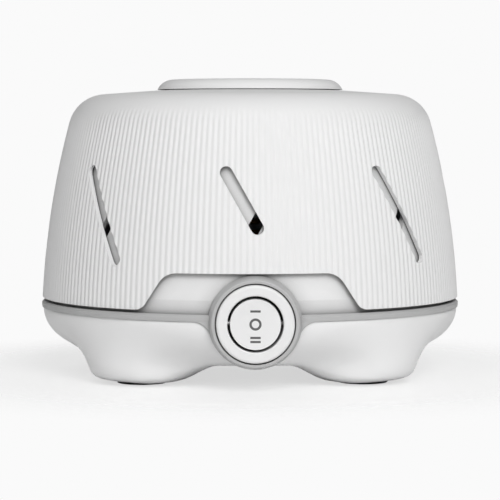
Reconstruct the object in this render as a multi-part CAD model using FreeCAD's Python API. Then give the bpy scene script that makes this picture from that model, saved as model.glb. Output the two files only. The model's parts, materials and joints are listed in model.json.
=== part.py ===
import FreeCAD, Part
import math
import os

from FreeCAD import Vector

os.makedirs("parts", exist_ok=True)

# Millimetres. Origin under the centre on the resting plane, +Z up, the switch looks along -Y.

# Overall sizes: most others follow from these two
overall_height = 102.3
body_radius = 73.0
clearance = 0.1

# Outer shell of revolution shared by the collar and the inner housing
collar_bottom_radius = body_radius
collar_bottom_z = 26.5
collar_cone_z = overall_height - 3.7
collar_shoulder_z = overall_height - 14.7
collar_mid_z = collar_bottom_z + 0.483 * (collar_shoulder_z - collar_bottom_z)
collar_mid_radius = body_radius - 3.0
collar_shoulder_radius = body_radius - 9.65
collar_cone_radius = 33.0
collar_cone_angle = 4.07
collar_wall = 1.6
collar_gap = 0.6
housing_inset = collar_wall + collar_gap
housing_wall = 2.0
housing_foot_z = collar_bottom_z - 1.6
housing_taper_z = collar_bottom_z + 3.5
housing_taper = 1.0

# Sound slots, all slanted straight slots with round ends
slot_count = 8
slot_width = 4.2
slot_low_z = collar_bottom_z + 14.0
slot_high_z = collar_shoulder_z - 14.3
slot_cross_z = (slot_low_z + slot_high_z) / 2
slot_tilt = 29.5
front_slot_low_z = slot_low_z + 10.8
collar_rest_turn = -1.0
housing_slot_turn = 1.5

# Window in the front of the collar that clears the switch ring
window_top_z = collar_bottom_z + 12.3
window_top_half = 27.9
window_bottom_half = 36.8
window_low_z = collar_bottom_z - 1.5
window_top_round = 7.0
window_foot_round = 4.5

# Neck of the housing and the turning cap
neck_radius = 29.6
neck_bore_radius = neck_radius - housing_wall
collar_hole_radius = neck_radius + 0.3
neck_shoulder_z = overall_height - 4.0
neck_flat_radius = 25.2
neck_top_z = overall_height - 2.2
top_plate = 1.8
cap_radius = 32.5
cap_rim_z = overall_height - 3.35
cap_round_radius = 26.0
cap_plate = neck_top_z - overall_height + 4.1
cap_rim_inner_radius = neck_radius + 0.5
vent_count = 6
vent_inner_radius = 8.5
vent_outer_radius = 22.5
vent_angle = 27.0
cap_rest_turn = 15.0
pin_radius = 1.5
pin_head_radius = 3.4
pin_head_height = 1.1
hub_boss_radius = 5.0
hub_boss_z = overall_height - 7.8

# Base shell with four feet; each row is radius and height, down the wall and in under the base
base_rim_z = collar_bottom_z - 3.2
base_wall = 2.4
base_floor_z = 7.8
foot_circle_radius = body_radius - 20.4
foot_angles = (45.0, 135.0, 225.0, 315.0)
foot_plan_radius = 18.5
foot_full_angle = 10.5
foot_end_angle = 33.0
foot_inner = foot_circle_radius - 7.1
foot_outer = foot_circle_radius + 7.4
cover_edge = 38.0
arch_rows = ((body_radius - 0.4, base_rim_z), (body_radius - 0.55, base_rim_z - 2.3),
             (body_radius - 1.7, base_rim_z - 5.5), (body_radius - 3.6, base_rim_z - 8.2),
             (body_radius - 6.2, base_rim_z - 10.5), (body_radius - 9.7, base_rim_z - 12.7),
             (body_radius - 13.2, base_floor_z + 0.7), (body_radius - 17.5, base_floor_z - 0.4),
             (foot_circle_radius - 2.1, base_floor_z - 0.8), (foot_inner + 0.5, base_floor_z - 0.7),
             (cover_edge + 4.5, base_floor_z - 0.3), (cover_edge + 2.0, base_floor_z - 0.05),
             (cover_edge, base_floor_z))
foot_rows = ((body_radius - 0.4, base_rim_z), (body_radius - 0.6, base_rim_z - 2.8),
             (body_radius - 1.1, base_rim_z - 6.8), (body_radius - 1.7, base_rim_z - 10.8),
             (body_radius - 2.2, 9.0), (body_radius - 3.0, 5.5), (body_radius - 4.8, 2.8),
             (body_radius - 8.5, 1.3), (foot_outer, 0.75), (foot_inner, 0.75),
             (cover_edge + 2.8, 2.2), (cover_edge + 1.0, 5.2), (cover_edge, base_floor_z))
foot_mix = (0.0, 0.0, 0.15, 0.4, 0.75, 1.0, 1.0, 1.0, 1.0, 1.0, 1.0, 0.5, 0.0)
floor_inner_radius = cover_edge + 2.2
floor_step = 1.9
columns_around = 72
base_floor_top_z = base_floor_z + base_wall
pillar_radius = 5.0
pillar_top_z = base_rim_z - 1.3

# Foot pads
pad_radius = 8.4
pad_height = 1.8
pad_recess_radius = pad_radius + clearance

# Case screws, one up each foot under its pad
case_screw_radius = 1.5
case_screw_hole_radius = case_screw_radius + 0.2
case_head_radius = 3.2
case_head_low_z = 2.2
case_head_high_z = 4.4

# Bottom cover
cover_hole_radius = cover_edge - 7.0
cover_rebate_radius = cover_edge - 2.2
cover_radius = cover_rebate_radius - 0.25
cover_thickness = 1.5
cover_screw_circle = cover_edge - 4.6
cover_screw_radius = 1.2
cover_head_radius = 2.2
cover_head_height = 1.1
cover_boss_radius = 3.2
cover_boss_top_z = base_floor_z + 7.7
cover_slot_count = 8
cover_slot_inner = 12.0
cover_slot_outer = 26.0
cover_slot_width = 2.4

# Trim band and switch ring
band_radius = body_radius + 0.2
band_recess_radius = body_radius - 2.15
band_inner_radius = body_radius - 4.8
band_top_z = collar_bottom_z - 1.0
band_recess_z = housing_foot_z - clearance
band_round = 0.7
tongue_outer_radius = body_radius - 3.05
tongue_inner_radius = body_radius - 4.6
tongue_low_z = base_rim_z - 2.0
switch_z = 22.8
ring_front_radius = 14.2
ring_radius = 15.2
ring_front = body_radius + 1.4
ring_back = body_radius - 2.0
ring_rise = 0.3
ring_counterbore = 13.1
ring_counterbore_depth = 1.8
ring_bore = 10.8
ring_sleeve_radius = 15.0
ring_sleeve_bore = 13.0
ring_sleeve_back = body_radius - 6.5
ring_round = 0.6
flare_radius = 6.0
flare_depth_radius = body_radius - 1.7

# Switch
bezel_radius = 12.66
bezel_front = body_radius + 2.2
bezel_bore = 9.05
bezel_tube_radius = 10.6
bezel_back = body_radius - 11.0
bezel_round = 0.9
rocker_radius = 8.15
rocker_front = bezel_front
rocker_back = body_radius - 4.5
rocker_hollow_radius = 60.0
rocker_stem_half = 5.0
rocker_stem_back = body_radius - 7.5
pivot_back = body_radius - 4.5
pivot_radius = 1.0
pivot_reach = 10.2
mark_sink = 0.8
mark_clearance = 0.02
switch_body_half = 8.5
switch_body_back = body_radius - 23.0
blade_thickness = 0.8
blade_width = 4.6
blade_length = 6.5
blade_back = switch_body_back - blade_length

# Rear cord gland
gland_z = 15.0
gland_boss_radius = 7.2
gland_boss_front = body_radius - 13.0
gland_boss_back = body_radius - 2.0
gland_flange_radius = 6.6
gland_flange = 1.4
gland_body_radius = 4.6
gland_lip_radius = 5.3
gland_bore_radius = 3.1
gland_nose_back = bezel_front

# Deck under the motor
deck_radius = foot_circle_radius + 7.4
deck_low_z = pillar_top_z
deck_high_z = housing_foot_z - clearance
deck_hole_radius = 14.0
deck_boss_radius = 4.5
deck_boss_top_z = deck_high_z + 1.2
deck_boss_low_z = deck_low_z - 4.0
wire_hole_y = 46.0
lug_height = 2.6
case_screw_top_z = deck_high_z + 2.2

# Motor, stacked upward from the deck
bolt_x = 20.0
bolt_radius = 1.5
grommet_radius = 4.6
grommet_high_z = deck_boss_top_z + 2.0
bracket_thickness = 2.0
bracket_half_length = 24.0
bracket_half_width = 6.0
stack_low_z = grommet_high_z + 6.0
stack_high_z = stack_low_z + 12.0
stack_half_x = 25.0
stack_front_y = -17.0
stack_back_y = 33.0
stack_window_half_x = 15.0
stack_window_front_y = 16.0
stack_window_back_y = 24.0
upper_bracket_low_z = stack_high_z + 4.0
rotor_radius = 12.2
air_gap = 0.4
rotor_overhang = 0.5
shaft_radius = 1.5
shaft_running_gap = 0.05
shaft_low_z = grommet_high_z - 1.0
bearing_radius = 3.6
bearing_flange_radius = 4.6
bearing_low_z = shaft_low_z - 0.7
bobbin_half_x = 14.0
bobbin_wall = 1.0
bobbin_flange = 1.2
coil_build = 5.2
shading_wire = 1.6

# Fan wheel above the motor
fan_radius = 36.0
fan_low_z = upper_bracket_low_z + 7.5
fan_plate = 1.6
fan_high_z = fan_low_z + 16.5
fan_ring_inner = 29.0
fan_ring = 1.5
fan_hub_radius = 5.5
fan_hub_low_z = fan_low_z - 2.0
fan_hub_high_z = fan_low_z + 7.5
shaft_top_z = fan_hub_high_z + 3.0
blade_count = 20
fan_blade_thickness = 1.1
fan_blade_inner = 22.0
fan_blade_lag = 22.0

# Inner wiring
wire_radius = 0.9
splice_radius = 2.0
splice_length = 7.0
splice_y = gland_boss_front - 10.5


# Length that clears the whole object, for cutting tools
far = body_radius + 12.0


def tube(outer, inner, low, high):
    body = Part.makeCylinder(outer, high - low, Vector(0, 0, low))
    bore = Part.makeCylinder(inner, high - low + 2, Vector(0, 0, low - 1))
    return body.cut(bore)


def front_rod(radius, front, back, z=switch_z):
    # A round bar along Y at the switch axis, front and back given as distances in front of the Z axis
    return Part.makeCylinder(radius, front - back, Vector(0, -front, z), Vector(0, 1, 0))


def rear_rod(radius, near, far, z=gland_z):
    return Part.makeCylinder(radius, far - near, Vector(0, near, z), Vector(0, 1, 0))


def turned(shape, angle):
    copy = shape.copy()
    copy.rotate(Vector(0, 0, 0), Vector(0, 0, 1), angle)
    return copy


def polar(radius, angle, z=0.0):
    a = math.radians(angle)
    return Vector(radius * math.sin(a), -radius * math.cos(a), z)


def switch_ring(extra=0.0):
    # The ring leans out from a smaller front circle to a larger back circle a little higher up
    front = Part.makeCircle(ring_front_radius + extra, Vector(0, -ring_front, switch_z), Vector(0, 1, 0))
    back = Part.makeCircle(ring_radius + extra, Vector(0, -ring_back, switch_z + ring_rise), Vector(0, 1, 0))
    return Part.makeLoft([Part.Wire(front), Part.Wire(back)], True, True)


def flare_prism(side, grow=0.0):
    # Hollow corner between the lower edge of the band and the ring
    edge_z = base_rim_z + 0.2
    reach = ring_sleeve_radius + flare_radius
    cz = base_rim_z - flare_radius
    cx = math.sqrt(reach ** 2 - (cz - switch_z) ** 2)
    touch = Vector(cx * ring_sleeve_radius / reach, 0, switch_z + (cz - switch_z) * ring_sleeve_radius / reach)
    r = flare_radius - grow
    top = Vector(cx, 0, cz + r)
    start = math.pi / 2
    end = math.atan2(touch.z - cz, touch.x - cx)
    middle = (start + end) / 2
    arc_mid = Vector(cx + r * math.cos(middle), 0, cz + r * math.sin(middle))
    arc_end = Vector(cx + r * math.cos(end), 0, cz + r * math.sin(end))
    inside = Vector(12.0, 0, arc_end.z)

    def place(p):
        return Vector(side * p.x, -body_radius - 5, p.z)

    corner = [Vector(12.0, 0, edge_z), Vector(cx, 0, edge_z)]
    edges = [Part.makeLine(place(corner[0]), place(corner[1])),
             Part.makeLine(place(corner[1]), place(top)),
             Part.Arc(place(top), place(arc_mid), place(arc_end)).toShape(),
             Part.makeLine(place(arc_end), place(inside)),
             Part.makeLine(place(inside), place(corner[0]))]
    return Part.Face(Part.Wire(edges)).extrude(Vector(0, 14, 0))


def fuse_all(shapes):
    return shapes[0].multiFuse(shapes[1:]).removeSplitter()


def try_fillet(shape, radius, wanted):
    edges = [e for e in shape.Edges if wanted(e)]
    if not edges:
        return shape
    try:
        rounded = shape.makeFillet(radius, edges)
    except Part.OCCError:
        return shape
    return rounded if rounded.isValid() else shape


def save(name, shape):
    shape.exportStep("parts/" + name + ".step")


# Shell of revolution: one arc up the side, one round the shoulder, one shallow cone

def circle_through(a, b, c):
    d = 2 * (a[0] * (b[1] - c[1]) + b[0] * (c[1] - a[1]) + c[0] * (a[1] - b[1]))
    sa = a[0] ** 2 + a[1] ** 2
    sb = b[0] ** 2 + b[1] ** 2
    sc = c[0] ** 2 + c[1] ** 2
    x = (sa * (b[1] - c[1]) + sb * (c[1] - a[1]) + sc * (a[1] - b[1])) / d
    y = (sa * (c[0] - b[0]) + sb * (a[0] - c[0]) + sc * (b[0] - a[0])) / d
    return (x, y), math.hypot(a[0] - x, a[1] - y)


side_centre, side_radius = circle_through(
    (collar_bottom_radius, collar_bottom_z),
    (collar_mid_radius, collar_mid_z),
    (collar_shoulder_radius, collar_shoulder_z))
side_end_angle = math.atan2(collar_shoulder_z - side_centre[1],
                            collar_shoulder_radius - side_centre[0])
cone = math.radians(collar_cone_angle)
cone_normal = (math.sin(cone), math.cos(cone))
side_normal = (math.cos(side_end_angle), math.sin(side_end_angle))
shoulder_radius = (
    ((collar_cone_radius - collar_shoulder_radius) * cone_normal[0]
     + (collar_cone_z - collar_shoulder_z) * cone_normal[1])
    / (1 - side_normal[0] * cone_normal[0] - side_normal[1] * cone_normal[1]))
shoulder_centre = (collar_shoulder_radius - shoulder_radius * side_normal[0],
                   collar_shoulder_z - shoulder_radius * side_normal[1])


def side_point(inset, z):
    r = side_radius - inset
    return Vector(side_centre[0] + math.sqrt(r * r - (z - side_centre[1]) ** 2), 0, z)


def cone_point(inset, radius):
    x = collar_cone_radius - inset * cone_normal[0]
    z = collar_cone_z - inset * cone_normal[1]
    return Vector(radius, 0, z - (radius - x) * math.tan(cone))


def shell_edges(inset, low_z, top_radius):
    start = side_point(inset, low_z)
    middle = side_point(inset, (low_z + collar_shoulder_z) / 2)
    r = side_radius - inset
    bend = Vector(side_centre[0] + r * side_normal[0], 0, side_centre[1] + r * side_normal[1])
    r = shoulder_radius - inset
    half = (side_end_angle + math.pi / 2 - cone) / 2
    over = Vector(shoulder_centre[0] + r * math.cos(half), 0, shoulder_centre[1] + r * math.sin(half))
    end = Vector(shoulder_centre[0] + r * cone_normal[0], 0, shoulder_centre[1] + r * cone_normal[1])
    top = cone_point(inset, top_radius)
    edges = [Part.Arc(start, middle, bend).toShape(),
             Part.Arc(bend, over, end).toShape(),
             Part.makeLine(end, top)]
    return edges, start, top


def shell_wall(outer_inset, inner_inset, low_z, top_radius):
    outer, start_out, top_out = shell_edges(outer_inset, low_z, top_radius)
    inner, start_in, top_in = shell_edges(inner_inset, low_z, top_radius)
    edges = outer + inner + [Part.makeLine(start_out, start_in), Part.makeLine(top_out, top_in)]
    wire = Part.Wire(Part.__sortEdges__(edges))
    return Part.Face(wire).revolve(Vector(0, 0, 0), Vector(0, 0, 1), 360)


def polygon_ring(points):
    wire = Part.makePolygon([Vector(r, 0, z) for r, z in points + points[:1]])
    return Part.Face(wire).revolve(Vector(0, 0, 0), Vector(0, 0, 1), 360)


# Slanted slot: a stadium drawn in the plane X-Z and pushed through the wall along Y

def slot_tool(low_z, high_z, side, azimuth):
    half = slot_width / 2
    lean = math.tan(math.radians(slot_tilt)) * side
    top = Vector(-(high_z - half - slot_cross_z) * lean, -far, high_z - half)
    low = Vector(-(low_z + half - slot_cross_z) * lean, -far, low_z + half)
    along = (top - low).normalize()
    across = Vector(along.z, 0, -along.x) * half
    edges = [Part.makeLine(low + across, top + across),
             Part.Arc(top + across, top + along * half, top - across).toShape(),
             Part.makeLine(top - across, low - across),
             Part.Arc(low - across, low - along * half, low + across).toShape()]
    tool = Part.Face(Part.Wire(edges)).extrude(Vector(0, 37, 0))
    return turned(tool, azimuth)


def window_tool():
    top = window_top_z
    slope = math.atan2(window_bottom_half - window_top_half, top - window_low_z)
    up = (-math.sin(slope), math.cos(slope))
    corner = (window_top_half, top)
    reach = window_top_round * math.tan((math.pi / 2 - slope) / 2)
    foot_x = window_bottom_half - (collar_bottom_z - window_low_z) * math.tan(slope)
    foot_reach = window_foot_round * math.tan((math.pi / 2 - slope) / 2)
    bisect = Vector(up[0] + 1, 0, up[1]).normalize()
    rise = window_foot_round * (1 / math.cos((math.pi / 2 - slope) / 2) - 1)
    in_bisect = Vector(-1 - up[0], 0, -up[1]).normalize()
    top_rise = window_top_round * (1 / math.cos((math.pi / 2 - slope) / 2) - 1)

    def right(x, z):
        return Vector(x, -far, z)

    p_low = right(foot_x + foot_reach, window_low_z)
    p_foot = right(foot_x + foot_reach, collar_bottom_z)
    p_foot_mid = right(foot_x + bisect.x * rise, collar_bottom_z + bisect.z * rise)
    p_foot_end = right(foot_x + up[0] * foot_reach, collar_bottom_z + up[1] * foot_reach)
    p_side_end = right(corner[0] - up[0] * reach, top - up[1] * reach)
    p_top_mid = right(corner[0] + in_bisect.x * top_rise, top + in_bisect.z * top_rise)
    p_top = right(corner[0] - reach, top)

    def left(p):
        return Vector(-p.x, p.y, p.z)

    edges = [Part.makeLine(left(p_low), p_low),
             Part.makeLine(p_low, p_foot),
             Part.Arc(p_foot, p_foot_mid, p_foot_end).toShape(),
             Part.makeLine(p_foot_end, p_side_end),
             Part.Arc(p_side_end, p_top_mid, p_top).toShape(),
             Part.makeLine(p_top, left(p_top)),
             Part.Arc(left(p_top), left(p_top_mid), left(p_side_end)).toShape(),
             Part.makeLine(left(p_side_end), left(p_foot_end)),
             Part.Arc(left(p_foot_end), left(p_foot_mid), left(p_foot)).toShape(),
             Part.makeLine(left(p_foot), left(p_low))]
    return Part.Face(Part.Wire(edges)).extrude(Vector(0, 45, 0))


def make_collar():
    body = shell_wall(0, collar_wall, collar_bottom_z, collar_hole_radius)
    tools = [slot_tool(front_slot_low_z, slot_high_z, 1, 0)]
    for i in range(1, slot_count):
        tools.append(slot_tool(slot_low_z, slot_high_z, 1, i * 360 / slot_count))
    tools.append(window_tool())
    return turned(body.cut(tools), collar_rest_turn)


# Shutter vents shared by the cap and the plate under it

def vent_tool(azimuth, low, high):
    half = math.radians(vent_angle / 2)
    ri = vent_inner_radius
    ro = vent_outer_radius

    def at(r, a):
        return Vector(r * math.sin(a), -r * math.cos(a), low)

    edges = [Part.Arc(at(ri, -half), at(ri, 0), at(ri, half)).toShape(),
             Part.makeLine(at(ri, half), at(ro, half)),
             Part.Arc(at(ro, half), at(ro, 0), at(ro, -half)).toShape(),
             Part.makeLine(at(ro, -half), at(ri, -half))]
    tool = Part.Face(Part.Wire(edges)).extrude(Vector(0, 0, high - low))
    tool = tool.makeFillet(1.5, [e for e in tool.Edges if e.Length > high - low - 0.01
                                 and abs(e.Vertexes[0].Z - e.Vertexes[-1].Z) > 1])
    return turned(tool, azimuth)


def make_inner_housing():
    inner = housing_inset + housing_wall
    body = shell_wall(housing_inset, inner, housing_foot_z, neck_bore_radius)
    foot_r = side_point(housing_inset, housing_foot_z).x
    taper_r = side_point(housing_inset, housing_taper_z).x
    taper = polygon_ring([(foot_r - housing_taper, housing_foot_z - 1), (foot_r + 2, housing_foot_z - 1),
                          (foot_r + 2, housing_taper_z), (taper_r, housing_taper_z)])
    body = body.cut(taper)
    seat_z = cone_point(inner, neck_radius).z
    neck = polygon_ring([(neck_bore_radius, seat_z), (neck_radius, seat_z),
                         (neck_radius, neck_shoulder_z), (neck_flat_radius, neck_top_z),
                         (0, neck_top_z), (0, neck_top_z - top_plate),
                         (neck_flat_radius - 0.8, neck_top_z - top_plate),
                         (neck_bore_radius, neck_shoulder_z - 1.6)])
    boss = Part.makeCylinder(hub_boss_radius, neck_top_z - hub_boss_z, Vector(0, 0, hub_boss_z))
    lugs = []
    for angle in foot_angles:
        lug = Part.makeBox(12, 25.6, lug_height, Vector(-6, -body_radius + 3.8, housing_foot_z))
        tip = Part.makeCylinder(6, lug_height, Vector(0, -foot_circle_radius + 9, housing_foot_z))
        lug = lug.cut(Part.makeBox(14, 12, 4, Vector(-7, -foot_circle_radius + 9, housing_foot_z - 0.9)))
        lugs.append(turned(lug.fuse(tip), angle))
    body = fuse_all([body, neck, boss] + lugs)
    tools = [slot_tool(slot_low_z, slot_high_z, -1, i * 360 / slot_count) for i in range(slot_count)]
    tools = [turned(t, housing_slot_turn) for t in tools]
    for i in range(vent_count):
        tools.append(vent_tool(i * 360 / vent_count, neck_top_z - top_plate - 1, neck_top_z + 1))
    tools.append(front_rod(ring_sleeve_radius + 0.3, far, body_radius - 13))
    tools.append(Part.makeCylinder(pin_radius + clearance, 20, Vector(0, 0, hub_boss_z - 5)))
    for angle in foot_angles:
        tools.append(Part.makeCylinder(case_screw_radius, case_screw_top_z - deck_low_z,
                                       polar(foot_circle_radius, angle, deck_low_z)))
    outer_trim = shell_wall(0, housing_inset, housing_foot_z - 0.5, neck_radius)
    return body.cut(tools).cut(outer_trim)


def make_cap():
    inner_top = overall_height - cap_plate
    outer = [Part.makeLine(Vector(cap_rim_inner_radius, 0, cap_rim_z), Vector(cap_radius, 0, cap_rim_z)),
             Part.Arc(Vector(cap_radius, 0, cap_rim_z),
                      Vector(cap_radius - 1.6, 0, overall_height - 1.2),
                      Vector(cap_round_radius, 0, overall_height)).toShape(),
             Part.makeLine(Vector(cap_round_radius, 0, overall_height), Vector(0, 0, overall_height)),
             Part.makeLine(Vector(0, 0, overall_height), Vector(0, 0, inner_top)),
             Part.makeLine(Vector(0, 0, inner_top), Vector(neck_flat_radius + 0.2, 0, inner_top)),
             Part.makeLine(Vector(neck_flat_radius + 0.2, 0, inner_top),
                           Vector(cap_rim_inner_radius, 0, cap_rim_z))]
    body = Part.Face(Part.Wire(outer)).revolve(Vector(0, 0, 0), Vector(0, 0, 1), 360)
    tools = [vent_tool(i * 360 / vent_count, inner_top - 1, overall_height + 1) for i in range(vent_count)]
    tools.append(Part.makeCylinder(pin_radius + clearance, 10, Vector(0, 0, inner_top - 5)))
    tools.append(Part.makeCylinder(pin_head_radius + clearance, pin_head_height + 1,
                                   Vector(0, 0, overall_height - pin_head_height)))
    return turned(body.cut(tools), cap_rest_turn)


def make_cap_pin():
    head_z = overall_height - pin_head_height
    head = Part.makeCylinder(pin_head_radius, pin_head_height - 0.1, Vector(0, 0, head_z))
    slot = Part.makeBox(5, 0.9, 1, Vector(-2.5, -0.45, overall_height - 0.6))
    stem = Part.makeCylinder(pin_radius, head_z - hub_boss_z + 2.5, Vector(0, 0, hub_boss_z - 2.5))
    return head.cut(slot).fuse(stem).removeSplitter()


def make_pin_clip():
    ring = tube(4.2, pin_radius, hub_boss_z - 1.0, hub_boss_z - 0.1)
    return ring


# Base shell: profiles blended round the axis from arch to foot

def foot_weight(away):
    t = (foot_end_angle - away) / (foot_end_angle - foot_full_angle)
    t = min(1.0, max(0.0, t))
    return t * t * (3 - 2 * t)


def inset_rows(rows, depth):
    moved = []
    for i, (r, z) in enumerate(rows):
        before = rows[max(0, i - 1)]
        after = rows[min(len(rows) - 1, i + 1)]
        dr = after[0] - before[0]
        dz = after[1] - before[1]
        size = math.hypot(dr, dz)
        moved.append((r + depth * dz / size, z - depth * dr / size))
    return moved


def foot_plan(r, away, mix):
    q = foot_circle_radius * math.sin(math.radians(away)) / foot_plan_radius
    s = 0.95 * q / (1 + q ** 4) ** 0.25
    reach = math.sqrt(1 - s * s)
    rounded = foot_circle_radius * math.cos(math.radians(away)) + (r - foot_circle_radius) * reach
    return r * (1 - mix) + rounded * mix


def base_ring(arch, foot, mix):
    points = []
    for i in range(columns_around):
        phi = 360.0 * i / columns_around
        away = abs((phi % 90) - 45)
        w = foot_weight(away)
        r = (1 - w) * arch[0] + w * foot_plan(foot[0], away, mix)
        z = (1 - w) * arch[1] + w * foot[1]
        points.append(polar(r, phi, z))
    curve = Part.BSplineCurve()
    curve.interpolate(Points=points, PeriodicFlag=True)
    return Part.Wire(curve.toShape())


def base_body(depth):
    arch = inset_rows(arch_rows, depth)
    foot = inset_rows(foot_rows, depth)
    last = len(arch) - 1
    rings = []
    if depth > 0:
        above = (arch_rows[0][0] - depth, base_rim_z + 1.5)
        rings.append(base_ring(above, above, 0))
        arch[0] = (arch_rows[0][0] - depth, base_rim_z)
        foot[0] = arch[0]
    for i in range(last + 1):
        a = arch[i]
        f = foot[i]
        if depth > 0:
            floor_r = floor_inner_radius + floor_step * (last - i)
            if i > last - 4:
                a = (max(a[0], floor_r), base_floor_top_z)
            if i == last:
                a = (floor_inner_radius, base_floor_top_z)
                f = a
        rings.append(base_ring(a, f, foot_mix[i]))
    return Part.makeLoft(rings, True, False)


def make_base_shell():
    outer = base_body(0)
    inner = base_body(base_wall)
    body = outer.cut(inner)
    adds = [front_rod(ring_sleeve_radius, ring_back, bezel_back - 1)]
    adds.append(rear_rod(gland_boss_radius, gland_boss_front, gland_boss_back))
    for angle in foot_angles:
        adds.append(Part.makeCylinder(pillar_radius, pillar_top_z - 1.2, polar(foot_circle_radius, angle, 1.2)))
    for i in range(4):
        adds.append(Part.makeCylinder(cover_boss_radius, cover_boss_top_z - base_floor_z - 1,
                                      polar(cover_screw_circle, i * 90, base_floor_z + 1)))
    body = body.multiFuse(adds)
    tools = [Part.makeBox(3 * body_radius, 3 * body_radius, 30,
                          Vector(-1.5 * body_radius, -1.5 * body_radius, base_rim_z))]
    tools.append(front_rod(ring_sleeve_bore, far, 55))
    tools.append(switch_ring(clearance))
    skin = tube(far, flare_depth_radius, base_rim_z - 14, base_rim_z + 1)
    tools.extend(flare_prism(side, clearance).common(skin) for side in (1, -1))
    tools.append(rear_rod(gland_flange_radius + clearance, gland_boss_back, far))
    tools.append(rear_rod(gland_body_radius + clearance, 50, far))
    tools.append(rear_rod(gland_lip_radius + 0.2, 50, gland_boss_front))
    tools.append(Part.makeCylinder(cover_hole_radius, 20, Vector(0, 0, 0)))
    tools.append(Part.makeCylinder(cover_rebate_radius, cover_thickness + 5, Vector(0, 0, base_floor_z - 5)))
    for angle in foot_angles:
        centre = polar(foot_circle_radius, angle)
        tools.append(Part.makeCylinder(pad_recess_radius, pad_height + 5, centre - Vector(0, 0, 5)))
        tools.append(Part.makeCylinder(case_head_radius + 0.3, case_head_high_z, centre))
        tools.append(Part.makeCylinder(case_screw_hole_radius, 30, centre))
    for i in range(4):
        tools.append(Part.makeCylinder(cover_screw_radius, 5.2, polar(cover_screw_circle, i * 90, base_floor_z)))
    return body.cut(tools)


def make_foot_pad(angle):
    pad = Part.makeCylinder(pad_radius, pad_height, polar(foot_circle_radius, angle))
    return try_fillet(pad, 0.3, lambda e: e.BoundBox.ZMax < 0.1 and e.Length > 20)


def make_bottom_cover():
    low = base_floor_z
    body = Part.makeCylinder(cover_radius, cover_thickness, Vector(0, 0, low))
    body = body.fuse(tube(cover_hole_radius - 0.3, cover_hole_radius - 1.9, low + 0.5, low + 4.0))
    tools = []
    for i in range(cover_slot_count):
        bar = Part.makeBox(cover_slot_width, cover_slot_outer - cover_slot_inner, 6,
                           Vector(-cover_slot_width / 2, -cover_slot_outer, low - 2))
        for y in (cover_slot_inner, cover_slot_outer):
            bar = bar.fuse(Part.makeCylinder(cover_slot_width / 2, 6, Vector(0, -y, low - 2)))
        tools.append(turned(bar, (i + 0.5) * 360 / cover_slot_count))
    for i in range(4):
        tools.append(Part.makeCylinder(cover_screw_radius + 0.2, 4, polar(cover_screw_circle, i * 90, low - 1)))
    return body.cut(tools).removeSplitter()


def make_cover_screws():
    screws = []
    for i in range(4):
        at = polar(cover_screw_circle, i * 90, base_floor_z - cover_head_height)
        head = Part.makeCylinder(cover_head_radius, cover_head_height, at)
        cross = Part.makeBox(2.6, 0.6, 0.6, at + Vector(-1.3, -0.3, -0.1))
        cross = cross.fuse(Part.makeBox(0.6, 2.6, 0.6, at + Vector(-0.3, -1.3, -0.1)))
        shank = Part.makeCylinder(cover_screw_radius, 6.0, at + Vector(0, 0, 0.3))
        screws.append(head.cut(cross).fuse(shank).removeSplitter())
    return Part.makeCompound(screws)


def make_case_screws():
    screws = []
    for angle in foot_angles:
        at = polar(foot_circle_radius, angle, case_head_low_z)
        head = Part.makeCylinder(case_head_radius, case_head_high_z - case_head_low_z, at)
        cross = Part.makeBox(3.6, 0.8, 1.2, at + Vector(-1.8, -0.4, -0.1))
        cross = cross.fuse(Part.makeBox(0.8, 3.6, 1.2, at + Vector(-0.4, -1.8, -0.1)))
        shank = Part.makeCylinder(case_screw_radius, case_screw_top_z - case_head_low_z - 1.5,
                                  at + Vector(0, 0, 1.5))
        screws.append(head.cut(cross).fuse(shank).removeSplitter())
    return Part.makeCompound(screws)


def make_trim_band():
    band = polygon_ring([(band_inner_radius, base_rim_z), (band_radius - 0.1, base_rim_z),
                         (band_radius, base_rim_z + 0.6), (band_radius, band_top_z - band_round),
                         (band_radius - band_round, band_top_z), (band_recess_radius, band_top_z),
                         (band_recess_radius, band_recess_z), (band_inner_radius, band_recess_z)])
    tongue = tube(tongue_outer_radius, tongue_inner_radius, tongue_low_z, base_rim_z + 0.5)
    tongue = tongue.cut([front_rod(ring_sleeve_radius + 0.2, far, 50),
                         rear_rod(gland_boss_radius + 0.2, 50, far)])
    ring = switch_ring()
    ring = try_fillet(ring, ring_round, lambda e: e.BoundBox.YMax < -ring_front + 0.1 and e.Length > 20)
    sleeve = front_rod(ring_sleeve_radius, ring_back, ring_sleeve_back)
    sleeve = sleeve.cut(Part.makeBox(60, 60, 60, Vector(-30, -body_radius - 17, base_rim_z - 60)))
    skin = tube(band_radius - 0.1, flare_depth_radius + clearance / 2, base_rim_z - 12, base_rim_z + 0.2)
    flares = [flare_prism(side).common(skin) for side in (1, -1)]
    body = band.multiFuse([tongue, ring, sleeve] + flares)
    tools = [front_rod(ring_bore, far, ring_back - 0.5),
             front_rod(ring_counterbore, far, ring_front - ring_counterbore_depth),
             front_rod(ring_sleeve_bore, ring_back, 50)]
    return body.cut(tools).removeSplitter()


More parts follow.
